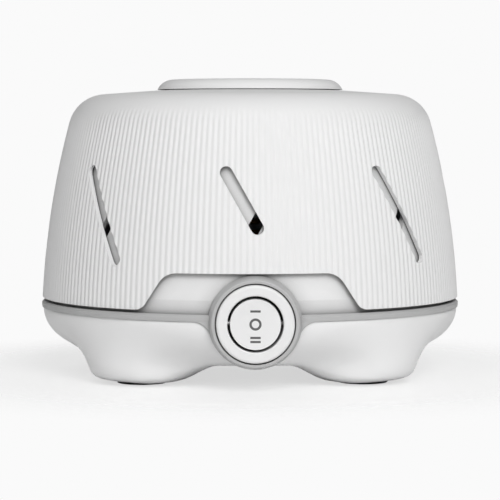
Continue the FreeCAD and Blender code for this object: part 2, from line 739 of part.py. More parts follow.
def make_switch_bezel():
    flange = front_rod(bezel_radius, bezel_front, ring_front - ring_counterbore_depth + 0.05)
    flange = try_fillet(flange, bezel_round, lambda e: e.BoundBox.YMax < -bezel_front + 0.1 and e.Length > 20)
    barrel = front_rod(bezel_tube_radius, bezel_front - 1, bezel_back)
    lugs = []
    for side in (1, -1):
        lug = front_rod(bezel_tube_radius + 0.8, ring_back - 0.1, ring_back - 1.8)
        lug = lug.common(Part.makeBox(6, 10, 20, Vector(-3, -ring_back - 4, switch_z + (4 if side > 0 else -24))))
        lugs.append(lug)
    body = flange.multiFuse([barrel] + lugs)
    bore = front_rod(bezel_bore, far, bezel_back - 1)
    holes = Part.makeCylinder(pivot_radius + 0.06, 30, Vector(-15, -pivot_back, switch_z), Vector(1, 0, 0))
    body = body.cut([bore, holes])
    inner_edge = [e for e in body.Edges if e.BoundBox.YMax < -bezel_front + 0.1
                  and e.Length < 2 * math.pi * bezel_bore + 0.5]
    if inner_edge:
        body = body.makeFillet(0.5, inner_edge[:1])
    return body.removeSplitter()


def mark_solids():
    front = rocker_front + 1
    thick = 1 + mark_sink
    marks = []

    def dash(z):
        return Part.makeBox(3.3, thick, 0.7, Vector(-1.65, -front, switch_z + z - 0.35))

    marks.append(dash(4.2))
    marks.append(front_rod(1.95, front, front - thick).cut(front_rod(1.2, front + 1, front - thick - 1)))
    marks.append(dash(-4.3))
    marks.append(dash(-5.6))
    return marks


def rocker_hollow(offset):
    # Big cylinder along X that leaves the rocker face slightly hollow, moved forward by the offset
    sag = rocker_radius ** 2 / (2 * rocker_hollow_radius)
    y = -(rocker_front - sag - offset) - rocker_hollow_radius
    return Part.makeCylinder(rocker_hollow_radius, 40, Vector(-20, y, switch_z), Vector(1, 0, 0))


def make_rocker():
    disc = front_rod(rocker_radius, rocker_front, rocker_back)
    disc = disc.cut(rocker_hollow(0))
    disc = try_fillet(disc, 0.5, lambda e: e.BoundBox.YMax < -rocker_front + 1.2 and e.Length > 20)
    half = rocker_stem_half
    stem = Part.makeBox(2 * half, rocker_back - rocker_stem_back + 0.5, 2 * half,
                        Vector(-half, -rocker_back - 0.5, switch_z - half))
    body = disc.fuse(stem)
    cutters = mark_solids() + [make_rocker_pin()]
    return body.cut(cutters).removeSplitter()


def make_rocker_pin():
    return Part.makeCylinder(pivot_radius, 2 * pivot_reach, Vector(-pivot_reach, -pivot_back, switch_z),
                             Vector(1, 0, 0))


def make_rocker_marks():
    return Part.makeCompound([m.cut(rocker_hollow(-mark_clearance)) for m in mark_solids()])


def make_switch_body():
    half = switch_body_half
    body = Part.makeBox(2 * half, bezel_back - 0.2 - switch_body_back, 2 * half,
                        Vector(-half, -bezel_back + 0.2, switch_z - half))
    spigot = front_rod(bezel_bore - 0.1, bezel_back + 2.5, bezel_back - 0.5)
    socket = Part.makeBox(6, 3.0, 12, Vector(-3, -bezel_back - 2.6, switch_z - 6))
    body = body.fuse(spigot).cut(socket)
    tools = [blade_box(x, z, 1.0) for x in (-4.5, 4.5) for z in (-4.0, 4.0)]
    return body.cut(tools).removeSplitter()


def blade_box(x, z, sink):
    return Part.makeBox(blade_thickness, switch_body_back + sink - blade_back, blade_width,
                        Vector(x - blade_thickness / 2, -switch_body_back - sink,
                               switch_z + z - blade_width / 2))


def make_switch_terminals():
    blades = []
    for x in (-4.5, 4.5):
        for z in (-4.0, 4.0):
            hole = Part.makeCylinder(0.8, 4, Vector(x - 2, -blade_back - 2, switch_z + z), Vector(1, 0, 0))
            blades.append(blade_box(x, z, 1.0).cut(hole))
    return Part.makeCompound(blades)


def make_cord_gland():
    flange = rear_rod(gland_flange_radius, gland_boss_back, gland_boss_back + gland_flange)
    body = rear_rod(gland_body_radius, gland_boss_front - 1.6, gland_boss_back + 0.5)
    nose_start = gland_boss_back + gland_flange
    nose = Part.makeCone(5.2, 4.3, gland_nose_back - nose_start + 0.1, Vector(0, nose_start - 0.1, gland_z),
                         Vector(0, 1, 0))
    lip = Part.makeCone(gland_body_radius, gland_lip_radius, 1.4,
                        Vector(0, gland_boss_front - 1.6, gland_z), Vector(0, 1, 0))
    solid = flange.multiFuse([body, nose, lip])
    slots = Part.makeBox(1.2, 6, 20, Vector(-0.6, gland_boss_front - 2, gland_z - 10))
    bore = rear_rod(gland_bore_radius, 50, far)
    return solid.cut([bore, slots]).removeSplitter()


def make_motor_deck():
    body = Part.makeCylinder(deck_radius, deck_high_z - deck_low_z, Vector(0, 0, deck_low_z))
    bosses = [Part.makeCylinder(deck_boss_radius, deck_boss_top_z - deck_boss_low_z,
                                Vector(x, 0, deck_boss_low_z)) for x in (-bolt_x, bolt_x)]
    rim = tube(deck_radius, deck_radius - 2, deck_low_z - 2.5, deck_low_z + 0.5)
    rim = rim.cut([Part.makeCylinder(pillar_radius + 4, 10, polar(foot_circle_radius, a, deck_low_z - 9))
                   for a in foot_angles])
    body = body.multiFuse(bosses + [rim])
    low = deck_low_z - 8
    tools = [Part.makeCylinder(deck_hole_radius, 20, Vector(0, 0, low)),
             Part.makeBox(26, 40, 30, Vector(-13, 1.5 - blade_back - 40, low))]
    for x in (-bolt_x, bolt_x):
        tools.append(Part.makeCylinder(bolt_radius, 20, Vector(x, 0, low)))
    for angle in foot_angles:
        tools.append(Part.makeCylinder(case_screw_hole_radius, 15, polar(foot_circle_radius, angle, low)))
    for x in (-9.0, 9.0):
        tools.append(Part.makeCylinder(2.6, 15, Vector(x, wire_hole_y, low)))
    notch = gland_lip_radius + 0.5
    tools.append(Part.makeBox(2 * notch, 20, gland_z + notch - low, Vector(-notch, gland_boss_front - 2.2, low)))
    return body.cut(tools).removeSplitter()


# Shaded-pole motor

def make_stator_stack():
    height = stack_high_z - stack_low_z
    body = Part.makeBox(2 * stack_half_x, stack_back_y - stack_front_y, height,
                        Vector(-stack_half_x, stack_front_y, stack_low_z))
    body = try_fillet(body, 3.0, lambda e: abs(e.Vertexes[0].Z - e.Vertexes[-1].Z) > height - 0.1)
    low = stack_low_z - 1
    tall = height + 2
    window = Part.makeBox(2 * stack_window_half_x, stack_window_back_y - stack_window_front_y, tall,
                          Vector(-stack_window_half_x, stack_window_front_y, low))
    bore = Part.makeCylinder(rotor_radius + air_gap, tall, Vector(0, 0, low))
    split = Part.makeBox(1.4, 60, tall, Vector(-0.7, stack_front_y - 10, low))
    split = split.cut(Part.makeBox(10, 60, tall + 2, Vector(-5, stack_window_front_y + 1, low - 1)))
    tools = [window, bore, split]
    for x in (-bolt_x, bolt_x):
        tools.append(Part.makeCylinder(bolt_radius + clearance, tall, Vector(x, 0, low)))
    tools.extend(shading_slots(low, tall))
    return body.cut(tools)


def shading_slots(low, tall):
    slots = []
    wire = shading_wire + 0.1
    for side in (1, -1):
        slots.append(Part.makeBox(wire, wire, tall, Vector(side * 9.5 - wire / 2, side * 11.2 - wire / 2, low)))
        slots.append(Part.makeBox(wire, wire, tall, Vector(side * 2.6 - wire / 2, side * 14.6 - wire / 2, low)))
    return slots


def make_shading_rings():
    rings = []
    wire = shading_wire
    low = stack_low_z - wire
    tall = stack_high_z - stack_low_z + 2 * wire
    for side in (1, -1):
        a = Vector(side * 9.5, side * 11.2, 0)
        b = Vector(side * 2.6, side * 14.6, 0)
        posts = [Part.makeBox(wire, wire, tall, p + Vector(-wire / 2, -wire / 2, low)) for p in (a, b)]
        span = b - a
        angle = math.degrees(math.atan2(span.y, span.x))
        links = []
        for z in (low, stack_high_z):
            link = Part.makeBox(span.Length, wire, wire, Vector(0, -wire / 2, z))
            link.rotate(Vector(0, 0, 0), Vector(0, 0, 1), angle)
            link.translate(a)
            links.append(link)
        rings.append(fuse_all(posts + links))
    return Part.makeCompound(rings)


def coil_box(half_x, spread):
    y0 = stack_window_back_y - spread
    y1 = stack_back_y + spread
    z0 = stack_low_z - spread
    z1 = stack_high_z + spread
    return Part.makeBox(2 * half_x, y1 - y0, z1 - z0, Vector(-half_x, y0, z0))


def make_coil_bobbin():
    core = coil_box(bobbin_half_x, 0.2 + bobbin_wall)
    flange = coil_box(bobbin_half_x, 0.2 + bobbin_wall + coil_build + 0.4)
    flange = flange.cut(coil_box(bobbin_half_x - bobbin_flange, 30))
    body = core.fuse(flange).cut(coil_box(bobbin_half_x + 5, 0.2))
    pins = [Part.makeBox(5, 3, 1.5, Vector(x - 2.5, stack_back_y + 1.2 + coil_build, stack_low_z - 6.9))
            for x in (-10.5, 10.5)]
    return body.multiFuse(pins).removeSplitter()


def make_motor_coil():
    body = coil_box(bobbin_half_x - bobbin_flange, 0.2 + bobbin_wall + coil_build)
    body = try_fillet(body, 2.5, lambda e: abs(e.Vertexes[0].X - e.Vertexes[-1].X) > 20)
    body = body.cut(coil_box(bobbin_half_x, 0.2 + bobbin_wall))
    room = Part.makeBox(60, 6, 4, Vector(-30, stack_back_y + 0.9 + coil_build, stack_low_z - 7.2))
    return body.cut(room)


def make_bracket(low):
    plate = Part.makeBox(2 * bracket_half_length, 2 * bracket_half_width, bracket_thickness,
                         Vector(-bracket_half_length, -bracket_half_width, low))
    plate = try_fillet(plate, 4.0, lambda e: abs(e.Vertexes[0].Z - e.Vertexes[-1].Z) > 1)
    swell = Part.makeCylinder(8.0, bracket_thickness, Vector(0, 0, low))
    body = plate.fuse(swell)
    tools = [Part.makeCylinder(bearing_radius, 10, Vector(0, 0, low - 4))]
    for x in (-bolt_x, bolt_x):
        tools.append(Part.makeCylinder(bolt_radius + clearance, 10, Vector(x, 0, low - 4)))
    return body.cut(tools).removeSplitter()


def make_lower_bearing():
    body = Part.makeCylinder(bearing_radius, 4.6, Vector(0, 0, bearing_low_z))
    flange = Part.makeCylinder(bearing_flange_radius, 1.0, Vector(0, 0, grommet_high_z + bracket_thickness))
    bore = Part.makeCylinder(shaft_radius + shaft_running_gap, 10, Vector(0, 0, shaft_low_z - 0.05))
    return body.fuse(flange).cut(bore).removeSplitter()


def make_upper_bearing():
    low = upper_bracket_low_z - 1.0
    body = tube(bearing_radius, shaft_radius + shaft_running_gap, low, low + 4.4)
    flange = tube(bearing_flange_radius, shaft_radius + shaft_running_gap, low, low + 1.0)
    return body.fuse(flange).removeSplitter()


def make_motor_spacers():
    parts = []
    for x in (-bolt_x, bolt_x):
        for low, high in ((grommet_high_z + bracket_thickness, stack_low_z), (stack_high_z, upper_bracket_low_z)):
            ring = tube(3.2, bolt_radius + clearance, low, high)
            ring.translate(Vector(x, 0, 0))
            parts.append(ring)
    return Part.makeCompound(parts)


def make_motor_bolts():
    parts = []
    top = upper_bracket_low_z + bracket_thickness
    for x in (-bolt_x, bolt_x):
        low = deck_boss_low_z + 1
        shank = Part.makeCylinder(bolt_radius, top - low + 0.5, Vector(x, 0, low))
        head = Part.makeCylinder(2.9, 2.2, Vector(x, 0, top))
        socket = Part.makeBox(4.4, 0.8, 1.0, Vector(x - 2.2, -0.4, top + 1.4))
        parts.append(shank.fuse(head).cut(socket).removeSplitter())
    return Part.makeCompound(parts)


def make_motor_grommets():
    parts = []
    for x in (-bolt_x, bolt_x):
        ring = tube(grommet_radius, bolt_radius + clearance, deck_boss_top_z, grommet_high_z)
        groove = tube(grommet_radius + 1, grommet_radius - 0.7, deck_boss_top_z + 0.7, grommet_high_z - 0.7)
        ring = ring.cut(groove)
        ring.translate(Vector(x, 0, 0))
        parts.append(ring)
    return Part.makeCompound(parts)


def make_rotor():
    return tube(rotor_radius, shaft_radius, stack_low_z - rotor_overhang, stack_high_z + rotor_overhang)


def make_motor_shaft():
    shaft = Part.makeCylinder(shaft_radius, shaft_top_z - shaft_low_z, Vector(0, 0, shaft_low_z))
    end = [e for e in shaft.Edges if e.Length < 2 * math.pi * shaft_radius + 0.1 and e.Length > 5]
    return shaft.makeChamfer(0.3, end)


def make_fan_wheel():
    plate = Part.makeCylinder(fan_radius, fan_plate, Vector(0, 0, fan_low_z))
    hub = Part.makeCylinder(fan_hub_radius, fan_hub_high_z - fan_hub_low_z, Vector(0, 0, fan_hub_low_z))
    ring = tube(fan_radius, fan_ring_inner, fan_high_z - fan_ring, fan_high_z)
    parts = [plate, hub, ring]
    low = fan_low_z + fan_plate - 0.3
    tall = fan_high_z - fan_ring + 0.3 - low
    outer = fan_radius - 0.4
    lag = math.radians(fan_blade_lag)
    half = fan_blade_thickness / 2

    def at(r, a, out):
        return Vector((r + out) * math.cos(a), (r + out) * math.sin(a), low)

    a0 = lag
    a1 = lag * 0.35
    inner_p = at(fan_blade_inner, a0, 0)
    mid_p = at((fan_blade_inner + outer) / 2, a1, 0)
    outer_p = at(outer, 0, 0)
    across = Vector(-(outer_p - inner_p).y, (outer_p - inner_p).x, 0).normalize() * half
    edges = [Part.Arc(inner_p + across, mid_p + across, outer_p + across).toShape(),
             Part.makeLine(outer_p + across, outer_p - across),
             Part.Arc(outer_p - across, mid_p - across, inner_p - across).toShape(),
             Part.makeLine(inner_p - across, inner_p + across)]
    blade = Part.Face(Part.Wire(edges)).extrude(Vector(0, 0, tall))
    for i in range(blade_count):
        parts.append(turned(blade, i * 360 / blade_count))
    body = fuse_all(parts)
    return body.cut(Part.makeCylinder(shaft_radius, 40, Vector(0, 0, fan_hub_low_z - 5)))


def make_fan_clip():
    ring = tube(3.6, shaft_radius, fan_hub_high_z + 0.05, fan_hub_high_z + 0.9)
    return ring


def wire_sweep(points):
    curve = Part.BSplineCurve()
    curve.interpolate([Vector(*p) for p in points])
    path = Part.Wire(curve.toShape())
    start = curve.value(0)
    direction = curve.tangent(0)[0]
    circle = Part.Wire(Part.makeCircle(wire_radius, start, direction))
    return path.makePipeShell([circle], True, False)


def make_lead_wires():
    coil_end_y = stack_back_y + coil_build + 5.1
    coil_end_z = stack_low_z - 7.0
    blade_end = Vector(4.5, -(blade_back - 0.9), switch_z - 4.0)
    under = deck_low_z - 5.5
    splice_end = splice_y
    wires = [wire_sweep([(-blade_end.x, blade_end.y, blade_end.z), (-8, -36, under), (-13, -12, under),
                         (-13, 22, under), (-7, 42, under - 1), (-3.5, splice_end + 0.6, gland_z)]),
             wire_sweep([(blade_end.x, blade_end.y, blade_end.z), (8, -36, under), (13, -12, under),
                         (13, 22, under + 0.5), (9, 40, deck_low_z - 3), (9, wire_hole_y, deck_low_z + 2),
                         (10.2, coil_end_y, coil_end_z)]),
             wire_sweep([(3.5, splice_end + 0.6, gland_z), (0, 45, gland_z + 1.5),
                         (-6, 44.0, deck_low_z - 3), (-9, wire_hole_y, deck_low_z + 2),
                         (-10.2, coil_end_y, coil_end_z)])]
    return Part.makeCompound(wires)


def make_wire_splices():
    caps = []
    for x in (-3.5, 3.5):
        cap = Part.makeCylinder(splice_radius, splice_length, Vector(x, splice_y, gland_z), Vector(0, 1, 0))
        caps.append(cap.cut(make_lead_wires().Solids))
    return Part.makeCompound(caps)


def main():
    save("base_shell", make_base_shell())
    for name, angle in (("foot_pad_front_right", 45), ("foot_pad_rear_right", 135),
                        ("foot_pad_rear_left", 225), ("foot_pad_front_left", 315)):
        save(name, make_foot_pad(angle))
    save("bottom_cover", make_bottom_cover())
    save("cover_screws", make_cover_screws())
    save("case_screws", make_case_screws())
    save("trim_band", make_trim_band())
    save("switch_bezel", make_switch_bezel())
    save("switch_rocker", make_rocker())
    save("rocker_marks", make_rocker_marks())
    save("rocker_pin", make_rocker_pin())
    save("switch_body", make_switch_body())
    save("switch_terminals", make_switch_terminals())
    save("cord_gland", make_cord_gland())
    save("motor_deck", make_motor_deck())
    save("inner_housing", make_inner_housing())
    save("collar", make_collar())
    save("cap", make_cap())
    save("cap_pin", make_cap_pin())
    save("pin_clip", make_pin_clip())
    save("stator_stack", make_stator_stack())
    save("shading_rings", make_shading_rings())
    save("coil_bobbin", make_coil_bobbin())
    save("motor_coil", make_motor_coil())
    save("lower_bracket", make_bracket(grommet_high_z))
    save("upper_bracket", make_bracket(upper_bracket_low_z))
    save("lower_bearing", make_lower_bearing())
    save("upper_bearing", make_upper_bearing())
    save("motor_spacers", make_motor_spacers())
    save("motor_bolts", make_motor_bolts())
    save("motor_grommets", make_motor_grommets())
    save("rotor", make_rotor())
    save("motor_shaft", make_motor_shaft())
    save("fan_wheel", make_fan_wheel())
    save("fan_clip", make_fan_clip())
    save("lead_wires", make_lead_wires())
    save("wire_splices", make_wire_splices())


main()
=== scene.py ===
import bpy
import json
import math
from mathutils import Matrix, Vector


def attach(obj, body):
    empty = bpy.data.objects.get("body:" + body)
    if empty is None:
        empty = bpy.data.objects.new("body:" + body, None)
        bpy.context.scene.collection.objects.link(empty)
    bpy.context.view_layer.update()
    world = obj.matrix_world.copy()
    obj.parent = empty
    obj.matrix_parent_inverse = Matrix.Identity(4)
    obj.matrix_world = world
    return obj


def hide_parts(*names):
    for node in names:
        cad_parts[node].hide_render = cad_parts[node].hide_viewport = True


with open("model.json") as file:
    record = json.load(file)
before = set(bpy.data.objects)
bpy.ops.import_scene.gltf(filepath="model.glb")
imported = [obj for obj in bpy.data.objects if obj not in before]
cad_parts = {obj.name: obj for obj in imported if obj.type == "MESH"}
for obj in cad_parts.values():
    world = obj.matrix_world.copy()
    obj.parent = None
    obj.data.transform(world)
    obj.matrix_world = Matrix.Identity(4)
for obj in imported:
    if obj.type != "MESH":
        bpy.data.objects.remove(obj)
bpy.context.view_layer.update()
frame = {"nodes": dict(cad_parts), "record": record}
nodes = frame["nodes"]
MM = 0.001

# Collar shape in millimetres, the same arcs as the solid part; pairs are (radius, height)
BOTTOM_R = 73.0
BOTTOM_Z = 26.5
MID_WALL = (70.0, 56.0)
SHOULDER = (63.35, 87.6)
CONE_POINT = (33.0, 98.6)
CONE_ANGLE = 4.07
WALL = 1.6
HOLE_R = 29.9

# Ribs
RIBS = 216
SAMPLES = 6
RIB_DEPTH = 0.3
RIB_SHARPNESS = 1.2
FADE_START_Z = 84.0
FADE_END_Z = 94.5
EDGE_ROUND = 0.45
EDGE_STEP = 0.12
EDGE_DEPTH = 0.6

# Slots and front window
COLLAR_TURN = -1.0
SLOT_COUNT = 8
SLOT_WIDTH = 4.2
SLOT_TILT = 29.5
SLOT_CROSS_Z = 56.9
SLOT_HIGH_Z = 73.3
SLOT_LOW_Z = 40.5
FRONT_SLOT_LOW_Z = 51.3
WINDOW_LOW_Z = 25.0
WINDOW_HIGH_Z = 38.8
WINDOW_BOTTOM_HALF = 36.8
WINDOW_TOP_HALF = 27.9
WINDOW_FOOT_ROUND = 4.5
WINDOW_TOP_ROUND = 7.0
CUT_OUTER = -80.0
CUT_INNER = -50.0


def circle_through(a, b, c):
    d = 2 * (a[0] * (b[1] - c[1]) + b[0] * (c[1] - a[1]) + c[0] * (a[1] - b[1]))
    sa, sb, sc = (p[0] ** 2 + p[1] ** 2 for p in (a, b, c))
    x = (sa * (b[1] - c[1]) + sb * (c[1] - a[1]) + sc * (a[1] - b[1])) / d
    y = (sa * (c[0] - b[0]) + sb * (a[0] - c[0]) + sc * (b[0] - a[0])) / d
    return (x, y), math.hypot(a[0] - x, a[1] - y)


def collar_profile():
    """Points (r, z, normal r, normal z) up the outer wall from the bottom edge to the hole."""
    wall_steps, shoulder_steps, cone_steps = 24, 14, 5
    c1, r1 = circle_through((BOTTOM_R, BOTTOM_Z), MID_WALL, SHOULDER)
    a0 = math.atan2(BOTTOM_Z - c1[1], BOTTOM_R - c1[0])
    a1 = math.atan2(SHOULDER[1] - c1[1], SHOULDER[0] - c1[0])
    cone = math.radians(CONE_ANGLE)
    n1 = (math.cos(a1), math.sin(a1))
    n2 = (math.sin(cone), math.cos(cone))
    run, rise = CONE_POINT[0] - SHOULDER[0], CONE_POINT[1] - SHOULDER[1]
    r2 = (run * n2[0] + rise * n2[1]) / (1 - n1[0] * n2[0] - n1[1] * n2[1])
    c2 = (SHOULDER[0] - r2 * n1[0], SHOULDER[1] - r2 * n1[1])
    points = []
    for i in range(wall_steps + 1):
        a = a0 + (a1 - a0) * i / wall_steps
        points.append((c1[0] + r1 * math.cos(a), c1[1] + r1 * math.sin(a), math.cos(a), math.sin(a)))
    for i in range(1, shoulder_steps + 1):
        a = a1 + (math.pi / 2 - cone - a1) * i / shoulder_steps
        points.append((c2[0] + r2 * math.cos(a), c2[1] + r2 * math.sin(a), math.cos(a), math.sin(a)))
    end = points[-1]
    for i in range(1, cone_steps + 1):
        r = end[0] + (HOLE_R - end[0]) * i / cone_steps
        points.append((r, CONE_POINT[1] - (r - CONE_POINT[0]) * math.tan(cone), n2[0], n2[1]))
    return points


def smooth(t):
    t = min(1.0, max(0.0, t))
    return t * t * (3 - 2 * t)


def new_mesh(name, verts, faces):
    mesh = bpy.data.meshes.new(name)
    mesh.from_pydata([tuple(c * MM for c in v) for v in verts], [], faces)
    mesh.update()
    obj = bpy.data.objects.new(name, mesh)
    bpy.context.scene.collection.objects.link(obj)
    return obj


def ribbed_shell():
    outer = collar_profile()
    count = RIBS * SAMPLES
    first = outer[0]
    rows = [(first[0] - EDGE_ROUND, first[1], None), (first[0] - EDGE_STEP, first[1] + EDGE_STEP, EDGE_DEPTH)]
    rows += [(p[0], p[1] + (EDGE_ROUND if i == 0 else 0), (p[2], p[3])) for i, p in enumerate(outer)]
    inner = [(p[0] - WALL * p[2], p[1] - WALL * p[3]) for p in reversed(outer)]
    inner[0] = (HOLE_R, inner[0][1])
    inner[-1] = (inner[-1][0], BOTTOM_Z)
    verts = []
    line = [(r, z, n) for r, z, n in rows] + [(r, z, None) for r, z in inner[::3] + [inner[-1]]]
    for r, z, n in line:
        fade = 1 - smooth((z - FADE_START_Z) / (FADE_END_Z - FADE_START_Z))
        for j in range(count):
            phi = 2 * math.pi * j / count
            rr, zz = r, z
            if n is not None:
                valley = (0.5 - 0.5 * math.cos(2 * math.pi * j / SAMPLES)) ** RIB_SHARPNESS
                depth = RIB_DEPTH * valley * fade
                if isinstance(n, tuple):
                    rr -= depth * n[0]
                    zz -= depth * n[1]
                else:
                    rr -= depth * n
            verts.append((rr * math.sin(phi), -rr * math.cos(phi), zz))
    faces = []
    total = len(line)
    for i in range(total):
        k = (i + 1) % total
        for j in range(count):
            m = (j + 1) % count
            faces.append((i * count + j, i * count + m, k * count + m, k * count + j))
    return new_mesh("collar_ribbed", verts, faces)


def prism(name, outline, azimuth):
    """Closed prism from (x, z) points through the front wall, turned about Z by degrees."""
    a = math.radians(azimuth)
    verts = []
    for y in (CUT_OUTER, CUT_INNER):
        for x, z in outline:
            verts.append((x * math.cos(a) - y * math.sin(a), x * math.sin(a) + y * math.cos(a), z))
    n = len(outline)
    faces = [tuple(range(n)), tuple(range(2 * n - 1, n - 1, -1))]
    faces += [(i, i + n, (i + 1) % n + n, (i + 1) % n) for i in range(n)]
    return new_mesh(name, verts, faces)


def slot_outline(low_z, high_z):
    half = SLOT_WIDTH / 2
    lean = math.tan(math.radians(SLOT_TILT))
    top = (-(high_z - half - SLOT_CROSS_Z) * lean, high_z - half)
    low = (-(low_z + half - SLOT_CROSS_Z) * lean, low_z + half)
    base = math.atan2(top[1] - low[1], top[0] - low[0])
    points = []
    for centre, start in ((top, base - math.pi / 2), (low, base + math.pi / 2)):
        for i in range(13):
            t = start + math.pi * i / 12
            points.append((centre[0] + half * math.cos(t), centre[1] + half * math.sin(t)))
    return points


def arc_corner(before, corner, after, radius, steps=8):
    """Points of a round of that radius at a corner of an outline."""
    u = Vector((before[0] - corner[0], before[1] - corner[1])).normalized()
    v = Vector((after[0] - corner[0], after[1] - corner[1])).normalized()
    half = u.angle(v) / 2
    c = Vector(corner) + (u + v).normalized() * (radius / math.sin(half))
    p = Vector(corner) + u * (radius / math.tan(half))
    q = Vector(corner) + v * (radius / math.tan(half))
    a = math.atan2(p.y - c.y, p.x - c.x)
    b = math.atan2(q.y - c.y, q.x - c.x)
    turn = (b - a + math.pi) % (2 * math.pi) - math.pi
    return [(c.x + radius * math.cos(a + turn * i / steps), c.y + radius * math.sin(a + turn * i / steps))
            for i in range(steps + 1)]


def window_outline():
    slope = (WINDOW_BOTTOM_HALF - WINDOW_TOP_HALF) / (WINDOW_HIGH_Z - WINDOW_LOW_Z)
    foot_corner = (WINDOW_BOTTOM_HALF - (BOTTOM_Z - WINDOW_LOW_Z) * slope, BOTTOM_Z)
    top_corner = (WINDOW_TOP_HALF, WINDOW_HIGH_Z)
    foot = arc_corner((foot_corner[0] + 10, BOTTOM_Z), foot_corner, top_corner, WINDOW_FOOT_ROUND)
    top = arc_corner(foot_corner, top_corner, (-WINDOW_TOP_HALF, WINDOW_HIGH_Z), WINDOW_TOP_ROUND)
    right = [(foot[0][0], WINDOW_LOW_Z)] + foot + top
    return right + [(-x, z) for x, z in reversed(right)]


def cut(obj, cutters):
    for c in cutters:
        mod = obj.modifiers.new("cut", "BOOLEAN")
        mod.operation = "DIFFERENCE"
        mod.solver = "MANIFOLD"
        mod.object = c
    bpy.context.view_layer.update()
    graph = bpy.context.evaluated_depsgraph_get()
    mesh = bpy.data.meshes.new_from_object(obj.evaluated_get(graph))
    obj.modifiers.clear()
    obj.data = mesh
    for c in cutters:
        bpy.data.objects.remove(c)


def shade(obj, degrees):
    mesh = obj.data
    mesh.polygons.foreach_set("use_smooth", [True] * len(mesh.polygons))
    mesh.set_sharp_from_angle(angle=math.radians(degrees))
    mesh.update()


collar = ribbed_shell()
cutters = [prism("cut_front", slot_outline(FRONT_SLOT_LOW_Z, SLOT_HIGH_Z), COLLAR_TURN)]
for i in range(1, SLOT_COUNT):
    azimuth = COLLAR_TURN + 360 / SLOT_COUNT * i
    cutters.append(prism("cut_slot", slot_outline(SLOT_LOW_Z, SLOT_HIGH_Z), azimuth))
cutters.append(prism("cut_window", window_outline(), COLLAR_TURN))
cut(collar, cutters)
shade(collar, 50)
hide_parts("collar")
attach(collar, "collar_ring")


# Materials: each has its own colour and roughness variation and surface grain, and some darken their colour
# in crevices and gaps between parts, which is painted shade

MOTTLE_SCALE = 45.0
GRAIN_DEPTH = 0.0002
ROUGH_SPREAD = 0.06


def material(name, colour, rough, metallic=0.0, specular=0.5, mottle=0.02, grain=2500.0, bump=0.02,
             stretch=(1, 1, 1), bands=None, painted_crevice_shade=0.0, painted_shade_reach=0.003):
    mat = bpy.data.materials.new(name)
    mat.use_nodes = True
    tree = mat.node_tree
    bsdf = tree.nodes["Principled BSDF"]
    bsdf.inputs["Metallic"].default_value = metallic
    bsdf.inputs["Specular IOR Level"].default_value = specular
    coord = tree.nodes.new("ShaderNodeTexCoord")
    mapping = tree.nodes.new("ShaderNodeMapping")
    mapping.inputs["Scale"].default_value = stretch
    tree.links.new(coord.outputs["Object"], mapping.inputs["Vector"])
    broad = tree.nodes.new("ShaderNodeTexNoise")
    broad.inputs["Scale"].default_value = MOTTLE_SCALE
    broad.inputs["Detail"].default_value = 4.0
    fine = tree.nodes.new("ShaderNodeTexNoise")
    fine.inputs["Scale"].default_value = grain
    fine.inputs["Detail"].default_value = 3.0
    for n in (broad, fine):
        tree.links.new(mapping.outputs["Vector"], n.inputs["Vector"])
    ramp = tree.nodes.new("ShaderNodeMapRange")
    ramp.inputs["To Min"].default_value = 1.0 - mottle
    ramp.inputs["To Max"].default_value = 1.0 + mottle
    tree.links.new(broad.outputs["Fac"], ramp.inputs["Value"])
    tint = tree.nodes.new("ShaderNodeVectorMath")
    tint.operation = "SCALE"
    tint.inputs[0].default_value = colour[:3]
    tree.links.new(ramp.outputs["Result"], tint.inputs["Scale"])
    tree.links.new(tint.outputs["Vector"], bsdf.inputs["Base Color"])
    rough_map = tree.nodes.new("ShaderNodeMapRange")
    rough_map.inputs["To Min"].default_value = max(0.03, rough - ROUGH_SPREAD)
    rough_map.inputs["To Max"].default_value = min(1.0, rough + ROUGH_SPREAD)
    tree.links.new(fine.outputs["Fac"], rough_map.inputs["Value"])
    tree.links.new(rough_map.outputs["Result"], bsdf.inputs["Roughness"])
    height = fine.outputs["Fac"]
    if bands is not None:
        axis, scale, strength = bands
        wave = tree.nodes.new("ShaderNodeTexWave")
        wave.bands_direction = axis
        wave.inputs["Scale"].default_value = scale
        wave.inputs["Distortion"].default_value = 0.3
        tree.links.new(coord.outputs["Object"], wave.inputs["Vector"])
        dark = tree.nodes.new("ShaderNodeMapRange")
        dark.inputs["To Min"].default_value = 1.0 - strength
        dark.inputs["To Max"].default_value = 1.0
        tree.links.new(wave.outputs["Fac"], dark.inputs["Value"])
        both = tree.nodes.new("ShaderNodeMath")
        both.operation = "MULTIPLY"
        tree.links.new(ramp.outputs["Result"], both.inputs[0])
        tree.links.new(dark.outputs["Result"], both.inputs[1])
        tree.links.new(both.outputs["Value"], tint.inputs["Scale"])
        height = wave.outputs["Fac"]
    # Painted shade: an ambient occlusion node darkens the colour in crevices, slots, grooves and gaps between
    # parts, where shade falls
    if painted_crevice_shade > 0:
        painted_shade_occlusion = tree.nodes.new("ShaderNodeAmbientOcclusion")
        painted_shade_occlusion.inputs["Distance"].default_value = painted_shade_reach
        painted_shade_occlusion.samples = 8
        shade_map = tree.nodes.new("ShaderNodeMapRange")
        shade_map.inputs["To Min"].default_value = 1.0 - painted_crevice_shade
        shade_map.inputs["To Max"].default_value = 1.0
        tree.links.new(painted_shade_occlusion.outputs["AO"], shade_map.inputs["Value"])
        dim = tree.nodes.new("ShaderNodeVectorMath")
        dim.operation = "SCALE"
        tree.links.new(tint.outputs["Vector"], dim.inputs[0])
        tree.links.new(shade_map.outputs["Result"], dim.inputs["Scale"])
        tree.links.new(dim.outputs["Vector"], bsdf.inputs["Base Color"])
    bumpy = tree.nodes.new("ShaderNodeBump")
    bumpy.inputs["Strength"].default_value = bump
    bumpy.inputs["Distance"].default_value = GRAIN_DEPTH
    tree.links.new(height, bumpy.inputs["Height"])
    tree.links.new(bumpy.outputs["Normal"], bsdf.inputs["Normal"])
    return mat


def grey(value):
    return (value, value, value)
